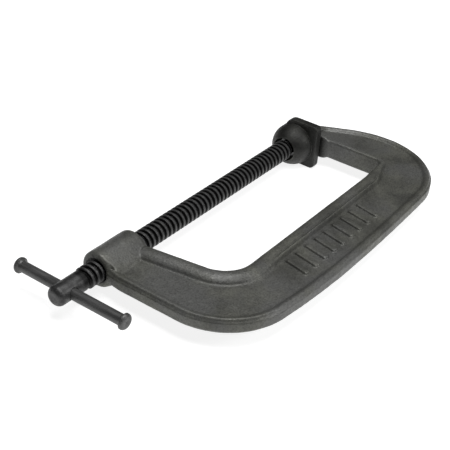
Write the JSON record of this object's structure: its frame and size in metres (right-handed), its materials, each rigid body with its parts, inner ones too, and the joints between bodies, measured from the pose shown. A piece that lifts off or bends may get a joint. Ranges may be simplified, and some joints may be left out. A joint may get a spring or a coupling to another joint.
{
  "type": "c clamp",
  "caption": "Heavy cast C-clamp with a ribbed I-section frame, coarse right-hand screw, sliding tommy bar and swivel jaw pad.",
  "frame": {"origin": "centre of the anvil face, on the axis of the screw", "axes": "+X along the screw from the handle to the anvil, +Z square to the flat of the frame, spine on the -Y side"},
  "size_m": [0.3948, 0.1992, 0.0443],
  "materials": {
    "frame_casting": "dark gunmetal coating over a fine cast texture",
    "screw_steel": "black oxide, lightly oiled",
    "bar_steel": "satin dark grey",
    "pad_steel": "dark gunmetal coating, forged surface",
    "ring_steel": "plain spring steel"
  },
  "bodies": {
    "frame": {"frame": "frame_casting"},
    "ring": {"retaining_ring": "ring_steel"},
    "screw": {"spindle": "screw_steel"},
    "handle": {"handle_bar": "bar_steel"},
    "pad": {"swivel_pad": "pad_steel"}
  },
  "joints": [
    {"name": "spindle_travel", "type": "slide", "parent": "frame", "child": "ring", "axis": [1, 0, 0], "range_m": [-0.203, 0]},
    {"name": "spindle_turn", "type": "hinge", "parent": "ring", "child": "screw", "pos_m": [0, 0, 0], "axis": [1, 0, 0], "range_deg": [-13050, 0]},
    {"name": "handle_slide", "type": "slide", "parent": "screw", "child": "handle", "axis": [0, 1, 0], "range_m": [-0.036, 0.0453]},
    {"name": "pad_tilt", "type": "hinge", "parent": "ring", "child": "pad", "pos_m": [-0.015, 0, 0], "axis": [0, 1, 0], "range_deg": [-6, 6]}
  ],
  "couplings": [
    {"joint": "spindle_travel", "follows": "spindle_turn", "m_per_rad": 0.00089127}
  ]
}
